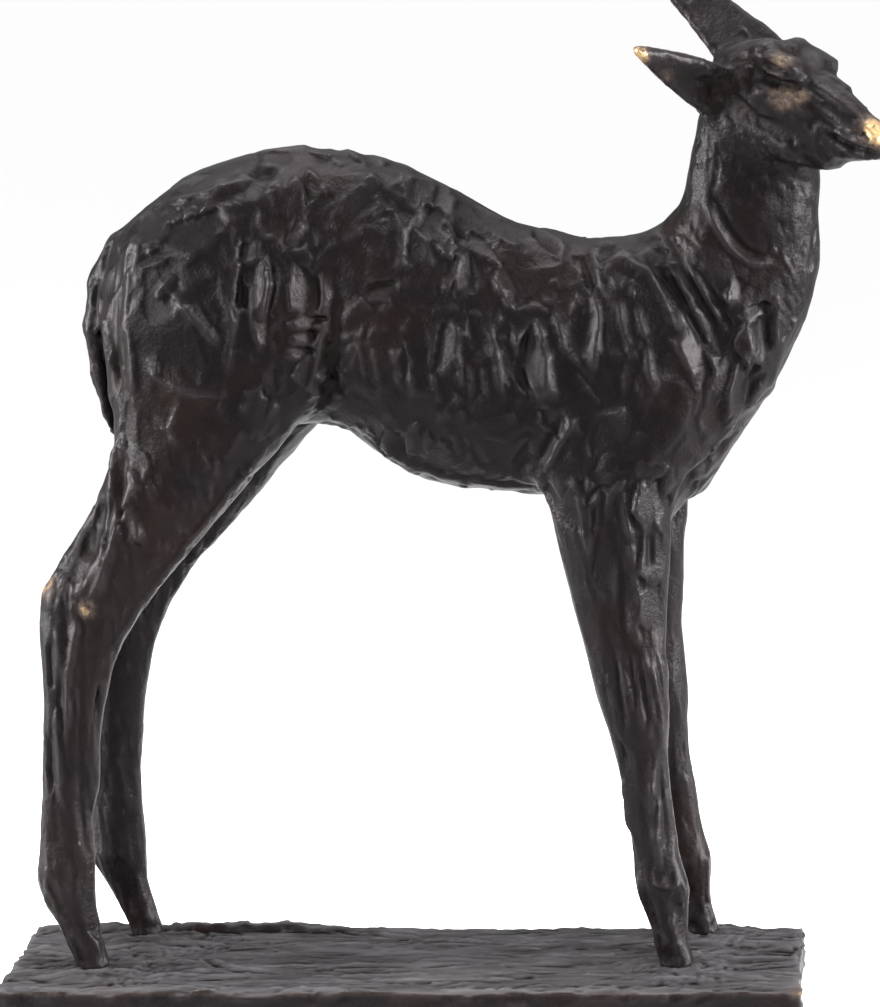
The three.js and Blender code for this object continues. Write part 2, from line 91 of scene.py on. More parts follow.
# One stroke of the knife: how far it stands above the clay or below it, half its width,
# how much steeper its right side is than its left, and its track over the side, head or plate
Mark = namedtuple("Mark", "name lift width lean track")
# One pressed plane: its place on the side view, the way it faces (turned from the near side towards the
# head, and raised, in degrees), the way it runs, half its length and width, and how far it stands out
Plane = namedtuple("Plane", "name place turn rise along length width lift")

BODY_MARKS = [
    Mark("spine edge", 1.3, 1.8, 0.5, [(-104, 399), (-85, 410), (-68, 416), (-41, 420), (-15, 419)]),
    Mark("second spine edge", 1.1, 1.5, -0.5, [(-100, 399), (-81, 404), (-66, 407), (-57, 409)]),
    Mark("loin gouge", -2.6, 2.2, 0.0, [(-61, 412), (-54, 411), (-46, 412)]),
    Mark("loin scallop", 1.0, 1.2, 0.4, [(-33, 415), (-32, 406), (-26, 401), (-20, 406)]),
    Mark("hip arc", 1.0, 1.3, -0.5, [(-53, 396), (-56, 389), (-51, 383), (-46, 381)]),
    Mark("thigh edge", 1.5, 1.8, 0.7, [(-103, 362), (-90, 349), (-81, 337), (-73, 328)]),
    Mark("thigh fold", 1.4, 1.6, -0.6, [(-72, 358), (-67, 343), (-69, 329), (-72, 315)]),
    Mark("thigh nick", -1.5, 1.6, 0.3, [(-84, 352), (-78, 342), (-70, 333)]),
    Mark("thigh floor", 1.8, 2.6, 0.6, [(-112, 320), (-102, 313), (-87, 307), (-72, 306)]),
    Mark("stifle cut", -2.6, 2.4, 0.4, [(-49, 376), (-48, 362), (-50, 344), (-54, 328)]),
    Mark("stifle edge", 1.6, 1.6, 0.7, [(-65, 371), (-60, 358), (-58, 340), (-55, 326)]),
    Mark("flank crease", -3.0, 3.4, 0.2, [(-17, 362), (-19, 340), (-22, 318), (-28, 296)]),
    Mark("flank lip", 1.6, 2.2, 0.5, [(-24, 366), (-25, 345), (-29, 322), (-36, 300)]),
    Mark("tail groove", -3.6, 4.2, 0.0, [(-124, 378), (-129, 357), (-130, 338), (-129, 318), (-128, 296)]),
    Mark("rump strip", 1.0, 4.5, 0.0, [(-117, 362), (-119, 339), (-119, 316), (-117, 298)]),
    Mark("rib edge", 1.8, 1.9, -0.6, [(56, 342), (60, 323), (62, 302)]),
    Mark("long rib", 1.4, 1.9, 0.6, [(67, 340), (72, 316), (80, 299)]),
    Mark("loin edge", 1.5, 1.7, 0.6, [(35, 352), (39, 360), (43, 368)]),
    Mark("saddle notch", -2.0, 2.0, 0.4, [(33, 384), (38, 380), (44, 377)]),
    Mark("saddle fold", 1.1, 1.8, -0.4, [(8, 398), (14, 386), (16, 374), (14, 362)]),
    Mark("rib scallop", -1.6, 2.4, 0.5, [(62, 352), (70, 346), (78, 348)]),
    Mark("belly edge", 1.6, 2.4, -0.5, [(-20, 284), (8, 269), (32, 260), (58, 256), (80, 255)]),
    Mark("elbow ridge", 1.9, 2.0, 0.5, [(79, 262), (89, 279), (99, 295)]),
    Mark("elbow cut", -2.2, 2.4, 0.0, [(76, 268), (84, 282), (92, 296)]),
    Mark("blade back", 1.7, 1.7, 0.6, [(87, 346), (91, 327), (104, 312)]),
    Mark("blade ridge", 2.0, 1.7, -0.5, [(107, 355), (110, 339), (107, 322), (106, 311)]),
    Mark("blade rib", 1.6, 1.5, 0.5, [(118, 350), (120, 334), (125, 320)]),
    Mark("short blade rib", 1.4, 1.4, 0.5, [(126, 346), (131, 328)]),
    Mark("low blade rib", 1.6, 1.6, 0.4, [(131, 329), (132, 315), (136, 301)]),
    Mark("shoulder edge", 2.1, 1.9, -0.6, [(107, 364), (121, 368), (133, 362), (141, 347), (146, 334)]),
    Mark("shoulder groove", -3.4, 2.8, 0.3, [(131, 370), (142, 355), (153, 338), (166, 316)]),
    Mark("first neck fold", 1.6, 1.3, 0.3, [(141, 366), (150, 350), (158, 334), (163, 322)]),
    Mark("second neck fold", -2.0, 1.5, 0.0, [(147, 366), (156, 348), (164, 333), (170, 315)]),
    Mark("third neck fold", 1.4, 1.2, 0.2, [(152, 364), (160, 348), (168, 333)]),
    Mark("fourth neck fold", -1.8, 1.5, 0.0, [(157, 362), (165, 346), (173, 328)]),
    Mark("throat ridge", 1.8, 1.8, 0.6, [(159, 396), (165, 381), (172, 370), (181, 363), (193, 361)]),
    Mark("throat cut", -2.0, 2.4, 0.0, [(164, 399), (171, 380), (180, 369), (193, 365)]),
    Mark("withers cut", -2.0, 2.6, 0.3, [(136, 384), (144, 372), (150, 362)]),
    Mark("chest fold", -2.4, 1.8, 0.2, [(143, 249), (152, 261), (164, 269), (172, 279)]),
    Mark("breast seam", 1.0, 2.0, 0.5, [(180, 330), (184, 315), (182, 300), (176, 286)]),
]

RIB_TICKS = [(-8, 321), (-1, 319), (9, 318), (16, 314), (27, 313), (40, 316), (45, 311), (52, 310)]

PLANES = [
    Plane("stifle plane", (-56, 357), -38, 12, (0.1, 1), 16, 7.5, -0.8),
    Plane("upper stifle plane", (-58, 374), -30, 22, (0.2, 1), 8, 5, -0.3),
    Plane("flank plane", (-32, 357), 40, 8, (-0.25, 1), 14, 7.5, -0.5),
    Plane("flank step", (-33, 341), 40, 14, (1, 0.2), 8, 3.6, -0.3),
    Plane("second flank step", (-34, 333), 40, 14, (1, 0.2), 8, 3.6, -0.5),
    Plane("third flank step", (-36, 325), 40, 14, (1, 0.2), 7, 3.6, -0.7),
    Plane("thigh face", (-95, 335), -8, -4, (0.4, -1), 18, 11, 0.0),
    Plane("rump face", (-85, 383), -12, 34, (1, 0.5), 20, 10, 0.0),
    Plane("low thigh face", (-88, 292), 4, -6, (0.5, 1), 20, 13, -0.3),
    Plane("long rib plane", (78, 316), -36, 6, (-0.12, 1), 18, 8, -0.2),
    Plane("rib hollow", (66, 319), 22, 0, (-0.1, 1), 15, 4.5, -0.9),
    Plane("loin plane", (45, 360), 32, 14, (0.4, 1), 11, 6, -0.6),
    Plane("saddle plane", (29, 383), -18, 44, (0.6, -1), 14, 7, 0.0),
    Plane("second saddle plane", (50, 374), 12, 46, (0.8, -0.7), 11, 6, 0.0),
    Plane("blade hollow", (99, 334), 12, 4, (0.1, 1), 17, 6, -1.2),
    Plane("blade face", (114, 336), -16, 8, (0, 1), 16, 4.5, -0.6),
    Plane("shoulder plane", (152, 321), 46, 6, (0.35, -1), 15, 7, 0.4),
    Plane("breast plane", (176, 300), 62, -8, (0.3, 1), 20, 9, 0.0),
    Plane("upper breast plane", (186, 330), 62, 4, (0, 1), 18, 8, 0.0),
    Plane("neck plane", (174, 350), 46, 14, (0.3, 1), 8, 4, 0.6),
    Plane("second neck plane", (181, 338), 40, 30, (1, 0.3), 6, 4, 0.5),
    Plane("nape plane", (158, 405), -42, 6, (0.2, 1), 18, 6, 0.0),
    Plane("elbow plane", (112, 283), -14, -4, (0.3, 1), 15, 8, 0.0),
    Plane("rump strip", (-122, 352), -50, 8, (0.1, 1), 16, 5, 0.2),
    Plane("low rump strip", (-120, 320), -48, 0, (0.05, 1), 18, 5, 0.2),
    Plane("heel strip", (-121, 290), -44, 0, (0.1, 1), 14, 4.5, 0.0),
    Plane("gaskin plane", (-124, 242), -36, 4, (-0.35, 1), 11, 4.5, -0.2),
    Plane("foreleg front", (133, 248), 46, 0, (0, 1), 15, 9, 0.2),
    Plane("foreleg front", (133, 222), 46, 0, (0.05, 1), 16, 9, 0.0),
    Plane("foreleg front", (131, 196), 48, 0, (0.05, 1), 15, 8, 0.0),
    Plane("foreleg side", (110, 225), -18, 0, (-0.1, 1), 30, 8, -0.4),
    Plane("fore cannon front", (134, 112), 46, 0, (-0.08, 1), 14, 6, 0.0),
    Plane("fore cannon front", (136, 86), 46, 0, (-0.12, 1), 14, 6, 0.0),
    Plane("fore cannon side", (118, 100), -24, 0, (-0.15, 1), 28, 5, 0.0),
    Plane("fore pastern front", (140, 36), 46, 0, (-0.25, 1), 13, 5, 0.0),
    Plane("hind cannon back", (-165, 170), -50, 0, (0.05, 1), 18, 4.5, 0.0),
    Plane("hind cannon back", (-168, 120), -50, 0, (0.02, 1), 22, 4.5, 0.0),
    Plane("hind cannon side", (-158, 130), 8, 0, (0.02, 1), 30, 3.5, -0.5),
    Plane("hind cannon front", (-148, 120), 52, 0, (0.02, 1), 30, 4, 0.0),
    Plane("hind pastern front", (-143, 40), 46, 0, (-0.4, 1), 16, 5, 0.0),
]
# Planes along the underside: from and to, how many, how far raised, half length and width
RUNS = [
    ("belly strip", (20, 74), 5, -52, 16, 8),
]
TRUNK_LOW = 235.0

LEG_MARKS = [
    Mark("gaskin edge", 2.0, 1.8, 0.5, [(-50, 284), (-71, 262), (-97, 232), (-123, 200), (-144, 170)]),
    Mark("heel tendon", 1.9, 1.9, -0.4, [(-130, 284), (-132, 262), (-136, 238), (-141, 221)]),
    Mark("second tendon", 1.2, 1.6, 0.4, [(-123, 275), (-119, 259), (-118, 247)]),
    Mark("tendon cut", -2.0, 2.0, 0.0, [(-126, 280), (-127, 262), (-130, 243)]),
    Mark("heel hollow", -3.2, 5.0, 0.0, [(-138, 256), (-144, 238), (-149, 222)]),
    Mark("shin ridge", 1.6, 2.2, 0.5, [(-121, 268), (-131, 240), (-141, 214), (-148, 203)]),
    Mark("hock ridge", 1.7, 1.7, -0.4, [(-150, 200), (-154, 188), (-159, 164), (-161, 134)]),
    Mark("hock cut", -1.5, 1.9, 0.0, [(-157, 205), (-160, 186), (-164, 160), (-166, 122)]),
    Mark("hind cannon cut", -1.3, 1.7, 0.2, [(-152, 176), (-155, 140), (-157, 100), (-156, 74)]),
    Mark("hind cannon edge", 1.2, 1.5, 0.5, [(-147, 160), (-150, 120), (-151, 84)]),
    Mark("hind pastern ridge", 1.0, 1.5, 0.4, [(-151, 60), (-145, 40), (-138, 22)]),
    Mark("fore plane edge", 1.8, 1.7, -0.6, [(118, 262), (122, 232), (124, 206), (123, 186), (128, 172)]),
    Mark("fore outer cut", -1.9, 3.2, 0.0, [(113, 250), (115, 225), (116, 200), (117, 180)]),
    Mark("fore pit", -2.0, 1.8, 0.0, [(131, 236), (131, 226), (130, 216)]),
    Mark("fore back ridge", 1.4, 1.6, 0.5, [(96, 262), (98, 240), (101, 222)]),
    Mark("fore back fold", 1.2, 1.5, -0.4, [(107, 258), (106, 240), (101, 226)]),
    Mark("fore cannon edge", 1.5, 1.4, -0.5, [(127, 126), (128, 108), (129, 84), (133, 60)]),
    Mark("fore cannon cut", -1.3, 1.6, 0.0, [(132, 120), (133, 98), (135, 72)]),
    Mark("fore fetlock ring", 1.2, 1.6, 0.4, [(127, 58), (134, 56), (143, 57)]),
    Mark("fore pastern ridge", 1.1, 1.4, -0.4, [(135, 52), (137, 36), (141, 20)]),
]

# Marks of the face: along the head and up it
FACE_MARKS = [
    Mark("eye slit", -2.8, 1.5, 0.0, [(20, 14.5), (27, 15), (34, 15.5), (39, 13)]),
    Mark("upper lid", 1.9, 2.0, -0.3, [(19, 17.5), (26, 19), (33, 18.5), (39, 15.5)]),
    Mark("lower lid", 1.4, 1.3, 0.3, [(22, 12), (29, 11.5), (36, 11.5)]),
    Mark("under eye", -1.2, 1.8, 0.0, [(20, 9), (29, 8), (38, 8.5), (46, 8)]),
    Mark("brow", 1.3, 1.8, 0.4, [(12, 19), (20, 23), (29, 23.5), (37, 20)]),
    Mark("tear groove", -1.2, 1.5, 0.0, [(40, 12.5), (47, 9), (54, 6)]),
    Mark("cheekbone", 1.6, 2.4, 0.3, [(20, 1), (29, 2.5), (37, 4), (44, 3)]),
    Mark("cheek edge", 0.8, 1.8, 0.5, [(8, -4), (15, -5), (23, -9), (33, -10)]),
    Mark("cheek hollow", -1.4, 3.0, 0.0, [(36, -4), (46, -5), (56, -5)]),
    Mark("bridge edge", 1.3, 1.7, 0.5, [(43, 10.5), (54, 8), (64, 5), (72, 2)]),
    Mark("muzzle line", -1.8, 1.6, 0.0, [(46, 1.5), (57, -1.5), (66, -5)]),
    Mark("mouth", -3.0, 1.3, 0.0, [(58, -7), (66, -9.5), (74, -11), (86, -10)]),
    Mark("upper lip", 0.9, 1.3, 0.0, [(62, -5.5), (70, -7.5), (78, -8)]),
    Mark("lower lip", 1.3, 1.5, 0.0, [(68, -13), (76, -14.5), (83, -13.5)]),
    Mark("nostril", -2.2, 1.4, 0.0, [(75, -2.5), (78, -3), (81, -5)]),
    Mark("nose edge", 0.7, 1.0, 0.0, [(70, 2), (72, -3), (77, -7)]),
    Mark("jaw edge", 0.7, 2.4, -0.4, [(16, -15), (30, -18), (44, -21), (56, -21)]),
    Mark("jaw cut", -0.8, 2.4, 0.0, [(4, -10), (14, -20), (28, -24)]),
    Mark("ear root cut", -1.6, 2.2, 0.0, [(-4, 2), (2, -4), (6, -10)]),
    Mark("temple cut", -1.2, 1.6, 0.2, [(2, 10), (9, 13), (16, 12)]),
]

FAR_FILL = Mark("far socket", 3.2, 6.0, 0.0, [(36, 10), (46, 7), (56, 4)])

# Marks of the forehead and crown: along the head and across it, towards the near side
CROWN_MARKS = [
    Mark("stop", -4.2, 7.0, 0.0, [(20, -1), (32, -1), (46, -1)]),
    Mark("forehead seam", -1.2, 1.6, 0.3, [(10, 3), (20, 5), (30, 7)]),
    Mark("crown arc", 1.2, 1.5, 0.5, [(-6, 12), (2, 13), (10, 9), (17, 7)]),
    Mark("crown lock", 1.0, 1.4, -0.4, [(4, 4), (14, 1), (24, 2)]),
    Mark("crown cut", -1.0, 1.6, 0.0, [(-2, 8), (8, 5), (16, 0)]),
    Mark("bridge", 0.9, 3.0, 0.0, [(50, 0), (62, 0), (72, 0)]),
    Mark("far lid", 1.2, 2.4, 0.5, [(24, -9), (32, -10), (41, -7)]),
]

# Worn spots with the metal showing: place, reach, and how bare they are
RUBS = [
    ("nose", (244, -42, 429), 13.0, 0.72),
    ("near ear tip", (132, -43, 465), 9.0, 0.7),
    ("near ear edge", (146, -34, 453), 7.0, 0.34),
    ("cheekbone", (199, -28, 444), 9.0, 0.46),
    ("front of cheekbone", (207, -30, 444), 6.0, 0.45),
    ("upper lid", (199, -29, 461), 7.5, 0.4),
    ("hock point", (-170, -16, 211), 9.5, 0.5),
    ("outer hock", (-148, -27, 200), 6.5, 0.55),
    ("far hock point", (-150, 36, 213), 7.0, 0.45),
    ("far ear tip", (137, 34, 507), 6.0, 0.45),
]


def unit(v):
    v = np.asarray(v, float)
    return v / np.maximum(np.linalg.norm(v, axis=-1, keepdims=True), 1e-9)


def smooth(low, high, x):
    t = np.clip((np.asarray(x, float) - low) / (high - low), 0, 1)
    return t * t * (3 - 2 * t)


def head_axes():
    turn, nod = math.radians(HEAD["turn"]), math.radians(HEAD["nod"])
    forward = np.array([math.cos(turn) * math.cos(nod), -math.sin(turn) * math.cos(nod), -math.sin(nod)])
    right = np.array([-math.sin(turn), -math.cos(turn), 0.0])
    return forward, right, np.cross(right, forward)


HEAD_FORWARD, HEAD_RIGHT, HEAD_UP = head_axes()


def in_head(points):
    d = points - np.array(HEAD["origin"])
    return d @ HEAD_FORWARD, d @ HEAD_RIGHT, d @ HEAD_UP


# Skins

def merged_copy(node):
    """A welded copy of a solid's mesh, as an object of its own."""
    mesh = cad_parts[node].data.copy()
    weld = bmesh.new()
    weld.from_mesh(mesh)
    bmesh.ops.remove_doubles(weld, verts=weld.verts, dist=1e-6)
    weld.to_mesh(mesh)
    weld.free()
    mesh.materials.clear()
    piece = bpy.data.objects.new(node + "_skin", mesh)
    bpy.context.collection.objects.link(piece)
    return piece


def remeshed(node, voxel):
    """The solid's skin in even cells, as plain arrays in millimetres."""
    piece = merged_copy(node)
    cells = piece.modifiers.new("even cells", "REMESH")
    cells.mode = "VOXEL"
    cells.voxel_size = voxel * MM
    shaped = piece.evaluated_get(bpy.context.evaluated_depsgraph_get())
    mesh = bpy.data.meshes.new_from_object(shaped)
    bpy.data.objects.remove(piece)
    points = np.empty(3 * len(mesh.vertices))
    mesh.vertices.foreach_get("co", points)
    edges = np.empty(2 * len(mesh.edges), np.int64)
    mesh.edges.foreach_get("vertices", edges)
    return mesh, points.reshape(-1, 3) / MM, edges.reshape(-1, 2)


class Clay:
    """A skin that strokes are pressed into: each point keeps a height along its own normal."""

    def __init__(self, node, voxel, settle, seed):
        self.mesh, self.points, edges = remeshed(node, voxel)
        self.rng = np.random.default_rng(seed)
        self.count = len(self.points)
        self.ends = np.concatenate([edges, edges[:, ::-1]])
        self.valence = np.maximum(np.bincount(self.ends[:, 0], minlength=self.count), 1)
        for _ in range(settle):
            self.points += 0.5 * (self.around(self.points) - self.points)
            self.points -= 0.52 * (self.around(self.points) - self.points)
        self.normals = unit(self.spread(self.point_normals(self.points), 8))
        self.height = np.zeros(self.count)
        self.tree = kdtree.KDTree(self.count)
        for n, point in enumerate(self.points):
            self.tree.insert(point, n)
        self.tree.balance()

    def around(self, values):
        """The mean of each point's neighbours."""
        first, second = self.ends.T
        if values.ndim == 1:
            return np.bincount(first, values[second], self.count) / self.valence
        columns = [np.bincount(first, column[second], self.count) for column in values.T]
        return np.stack(columns, 1) / self.valence[:, None]

    def spread(self, values, rounds):
        for _ in range(rounds):
            values = 0.5 * values + 0.5 * self.around(values)
        return values

    def point_normals(self, points):
        self.mesh.vertices.foreach_set("co", (points * MM).ravel())
        self.mesh.update()
        normals = np.empty(3 * self.count)
        self.mesh.vertex_normals.foreach_get("vector", normals)
        return normals.reshape(-1, 3)

    def near(self, place, reach):
        return np.array([n for _, n, _ in self.tree.find_range(place, reach)], int)

    def shaped(self):
        return self.points + self.normals * self.height[:, None]

    def outermost(self, place, facing):
        """The point on one side of the body that is nearest to a place on its side view and faces one way."""
        gap = np.hypot(self.points[:, 0] - place[0], self.points[:, 2] - place[1])
        astray = 14 * (1 - self.normals @ facing) + 1e9 * (facing[1] * (self.points[:, 1] - MIDDLE) < 0)
        return int(np.argmin(gap + astray))

    def dab(self, centre, along, size, lift, tilt, press=0.85, burr=0.0, limit=2.6, edge=0.22, facing=None):
        """Flattens one stroke: an uneven facet, sharp along one side and feathered on the other."""
        length, width = size
        normal = self.normals[centre] if facing is None else facing
        along = unit(along - (along @ normal) * normal)
        across = np.cross(normal, along)
        near = self.near(self.points[centre], 1.25 * max(length, width))
        near = near[self.normals[near] @ normal > 0.3]
        if len(near) < 5:
            return
        d = self.points[near] - self.points[centre]
        u, v = d @ along / length, d @ across / width
        turns = math.tau / FACET_SIDES * (np.arange(FACET_SIDES) + self.rng.uniform(0, 0.8, FACET_SIDES))
        sides = np.stack([np.cos(turns), np.sin(turns)]) / self.rng.uniform(0.72, 1.0, FACET_SIDES)
        rim = np.max(np.stack([u, v], 1) @ sides, axis=1)
        sharp = v + 0.6 * u > 0
        mask = smooth(0, 1, (1 - rim) / np.where(sharp, edge, 0.6))
        if mask.sum() < 2:
            return
        rise = d @ normal
        slant = np.maximum(self.normals[near] @ normal, 0.4)
        level = rise + self.height[near] * slant
        plane = np.average(level, weights=mask) + lift + tilt[0] * u + tilt[1] * v
        target = np.clip((plane - rise) / slant, -limit, limit)
        self.height[near] += press * mask * (target - self.height[near])
        if burr:
            crest = np.exp(-(((rim - 0.97) / 0.13) ** 2)) * sharp
            self.height[near] += burr * crest

    def line(self, mark, where, flat=None, lift=1.0, shift=(0, 0)):
        """Raises or sinks the clay along a mark's track, with a leaning section and fading ends."""
        flat = self.points[:, [0, 2]] if flat is None else flat
        track = np.asarray(mark.track, float) + np.asarray(shift, float)
        reach = 4 * mark.width
        inside = np.all((flat > track.min(0) - reach) & (flat < track.max(0) + reach), axis=1)
        near = np.flatnonzero(inside & where)
        spots = flat[near]
        gap = np.full(len(near), 1e9)
        side = np.zeros(len(near))
        share = np.zeros(len(near))
        lengths = np.linalg.norm(np.diff(track, axis=0), axis=1)
        starts = np.concatenate([[0], np.cumsum(lengths)])
        for n, length in enumerate(lengths):
            step = (track[n + 1] - track[n]) / length
            t = np.clip((spots - track[n]) @ step, 0, length)
            off = spots - track[n] - t[:, None] * step
            far = np.linalg.norm(off, axis=1)
            closer = far < gap
            gap[closer] = far[closer]
            side[closer] = np.sign(step[0] * off[closer, 1] - step[1] * off[closer, 0])
            share[closer] = (starts[n] + t[closer]) / starts[-1]
        ends = smooth(0, 0.22, share) * smooth(0, 0.22, 1 - share)
        section = np.exp(-((gap / (mark.width * (1 + mark.lean * side))) ** 2))
        self.height[near] += lift * mark.lift * (0.15 + 0.85 * ends) * section

    def store(self, name, values):
        layer = self.mesh.attributes.new(name, "FLOAT", "POINT")
        layer.data.foreach_set("value", np.asarray(values, np.float32))

    def finish(self, name, rub):
        """Writes the clay back as a piece that knows its ridges, hollows and worn spots."""
        points = self.shaped()
        normals = self.point_normals(points)
        bend = np.einsum("ij,ij->i", self.around(points) - points, normals)
        fine = self.spread(bend, 2)
        broad = self.spread(bend, 14)
        self.store("ridge", smooth(0.01, 0.12, -fine) * 0.7 + smooth(0.005, 0.05, -broad) * 0.3)
        self.store("hollow", smooth(0.01, 0.12, fine) * 0.6 + smooth(0.005, 0.05, broad) * 0.4)
        self.store("rub", rub)
        self.store("upward", smooth(0.5, 0.95, normals[:, 2]))
        piece = bpy.data.objects.new(name, self.mesh)
        bpy.context.collection.objects.link(piece)
        return thinned(piece)


def thinned(piece):
    """The same piece with the fewest changes of form that bring it down to its share of triangles."""
    piece.data.calc_loop_triangles()
    fewer = piece.modifiers.new("fewer faces", "DECIMATE")
    fewer.ratio = min(1.0, TRIANGLES / len(piece.data.loop_triangles))
    shaped = piece.evaluated_get(bpy.context.evaluated_depsgraph_get())
    mesh = bpy.data.meshes.new_from_object(shaped)
    piece.modifiers.clear()
    mesh.name = piece.name
    mesh.polygons.foreach_set("use_smooth", np.ones(len(mesh.polygons), bool))
    piece.data = mesh
    return piece


def faced(turn, rise, side):
    """A direction turned from one side of the fawn towards its head, and raised."""
    turn, rise = math.radians(turn), math.radians(rise)
    return np.array([math.sin(turn) * math.cos(rise), side * math.cos(turn) * math.cos(rise), math.sin(rise)])


def along_ear(points, ear):
    """How far along an ear each point lies, from 0 at its root to 1 at its tip, and its distance from it."""
    root, tip = (np.array(end) for end in EARS[ear])
    axis = tip - root
    share = (points - root) @ axis / (axis @ axis)
    gap = np.linalg.norm(points - root - np.clip(share, 0, 1)[:, None] * axis, axis=1)
    return share, gap


class Regions:
    """Which part of the fawn each point of the clay belongs to."""

    def __init__(self, clay):
        x, y, z = clay.points.T
        s, r, _ = in_head(clay.points)
        self.head = (s > -8) & (z > 424) & (np.abs(r) < 30)
        self.leg = z < np.where(x < 0, 262, 240)
        self.neck = (x > 140) & (z > 330) & ~self.head
        self.thin = (x < TAIL["front"]) & (z > TAIL["low"]) & (z < TAIL["high"])
        self.thin &= np.abs(y - MIDDLE) < TAIL["half"]
        for ear in EARS:
            share, gap = along_ear(clay.points, ear)
            self.thin |= (share > 0.22) & (gap < 24) & (z > 430)
        self.near = (y < MIDDLE) & (clay.normals[:, 1] < 0.25)
        self.far = (y > MIDDLE) & (clay.normals[:, 1] > -0.25)


def random_strokes(clay, regions, rng):
    """Strokes laid over the whole fawn, each kind of place with its own size and run."""
    body = ~(regions.thin | regions.head | regions.leg | regions.neck)
    for centre in rng.permutation(clay.count)[:STROKES]:
        turn = rng.normal(0, 0.55)
        along = np.array([math.sin(turn) + 0.25, 0.2 * rng.normal(), math.cos(turn)])
        length, width, lift, limit = rng.uniform(10, 22), rng.uniform(4.5, 11), 0.08, 1.4
        tilt = rng.normal(0, 0.5, 2) * (1 - 0.6 * abs(clay.normals[centre][2]))
        burr = rng.uniform(-0.3, 0.4)
        if regions.thin[centre]:
            length, width, lift, limit, burr = rng.uniform(4, 9), rng.uniform(1.5, 3), 0.05, 0.45, 0
            tilt *= 0.2
        elif regions.head[centre]:
            length, width, lift, limit = rng.uniform(2.5, 6), rng.uniform(1.2, 2.8), 0.18, 1.0
            along = HEAD_FORWARD + 1.1 * rng.normal(size=3)
            tilt *= 0.8
            burr *= 0.8
        elif regions.leg[centre]:
            length, width, lift, limit = rng.uniform(8, 22), rng.uniform(1.7, 3.8), 0.03, 0.7
            along = np.array([0.25 * turn - 0.15, 0.15 * rng.normal(), 1.0])
            tilt *= (0.2, 0.9)
            burr *= 0.6
        elif regions.neck[centre]:
            length, width, limit = rng.uniform(5, 13), rng.uniform(1.7, 3.8), 1.5
            along = np.array([0.6 + math.sin(turn), 0.3 * rng.normal(), -1.0])
        elif rng.random() < 0.62:
            continue
        clay.dab(centre, along, (length, width), rng.normal(0, lift), tilt, 0.85, max(burr, 0), limit)
    for centre in rng.choice(np.flatnonzero(body), LARGE_FACETS):
        turn = rng.normal(0.2, 0.7)
        along = np.array([math.sin(turn), 0, math.cos(turn)])
        width = rng.uniform(3.5, 8)
        tilt = rng.normal(0, 0.3 * width, 2) * (0.2, 1)
        length = rng.uniform(1.4, 2.6) * width
        clay.dab(centre, along, (length, width), -0.1, tilt, 0.9, 0.0, 2.6, 0.12)


def named_strokes(clay, regions, rng):
    """The strokes that make this fawn: as they lie on the near side, and loosely repeated on the far one."""
    for side in (-1, 1):
        for _, (start, end), count, rise, length, width in RUNS:
            for place in np.linspace(start, end, count):
                facing = faced(rng.normal(0, 5), rise + rng.normal(0, 3), side)
                ring = (np.abs(clay.points[:, 0] - place) < 2) & (clay.points[:, 2] > TRUNK_LOW)
                centre = int(np.argmax(np.where(ring, clay.points @ facing, -1e9)))
                along = np.array([1.0, 0, 0])
                clay.dab(centre, along, (length, width), 0, (0, 0), 0.9, 0.0, 2.2, 0.6, facing)
        for plane in PLANES:
            loose = rng.normal(0, 3, 2) * (side > 0)
            facing = faced(plane.turn, plane.rise, side)
            centre = clay.outermost(np.array(plane.place) + loose, facing)
            burr = 0.25 if abs(plane.turn) < 42 else 0.05
            along = np.array([plane.along[0], 0, plane.along[1]], float)
            size = (1.12 * plane.length, 1.12 * plane.width)
            clay.dab(centre, along, size, plane.lift, (0, 0), 0.85, burr, 4.6, 0.14, facing)
    for mark in BODY_MARKS + LEG_MARKS:
        clay.line(mark, regions.near)
        clay.line(mark, regions.far, None, rng.uniform(0.6, 1.0), rng.normal(0, 2.5, 2))
    for x, z in RIB_TICKS:
        tick = Mark("rib tick", 1.3, 1.2, 0.6, [(x, z + 9), (x + 1, z), (x + 2, z - 9)])
        clay.line(tick, regions.near)
        clay.line(tick, regions.far, None, 0.9, rng.normal(0, 4, 2))
    for n in range(11):
        top = 112 + 2.3 * n
        track = [(top, 176 - 4 * (n % 3)), (top + 4, 134 + 5 * (n % 4))]
        hair = Mark("knee hair", rng.choice([-1.5, 1.3]), 1.1, 0.3, track)
        clay.line(hair, regions.near)
        clay.line(hair, regions.far, None, 0.9, (2.0, 3.0))


def face(clay, rng):
    """The face's marks, the same on both cheeks, and the small crumbs of clay left on it."""
    s, r, u = in_head(clay.points)
    on_face = (s > -8) & (clay.points[:, 2] > 405)
    spots = np.flatnonzero(on_face & (np.abs(r) < 28) & (s < 74))
    for centre in rng.choice(spots, FACE_CRUMBS):
        size = rng.uniform(1.2, 3.0)
        lift, tilt = rng.normal(0, 0.24), rng.normal(0, 0.3, 2)
        clay.dab(centre, rng.normal(size=3), (size, 0.6 * size), lift, tilt, 0.75, 0.1, 5.0, 0.3)
    for mark in FACE_MARKS:
        clay.line(mark, (r > 3) & on_face, np.stack([s, u], 1))
        clay.line(mark, (r < -3) & on_face, np.stack([s, u], 1), 0.4)
    clay.line(FAR_FILL, (r < -3) & on_face, np.stack([s, u], 1))
    on_top = on_face & (clay.normals @ HEAD_UP > 0.1)
    for mark in CROWN_MARKS:
        clay.line(mark, on_top, np.stack([s, r], 1))


def rub_at(points, spots):
    """How bare the metal is at each point."""
    bare = np.zeros(len(points))
    for _, place, reach, share in spots:
        gap = np.linalg.norm(points - np.array(place), axis=1)
        bare = np.maximum(bare, share * (1 - smooth(0.35 * reach, reach, gap)))
    return bare


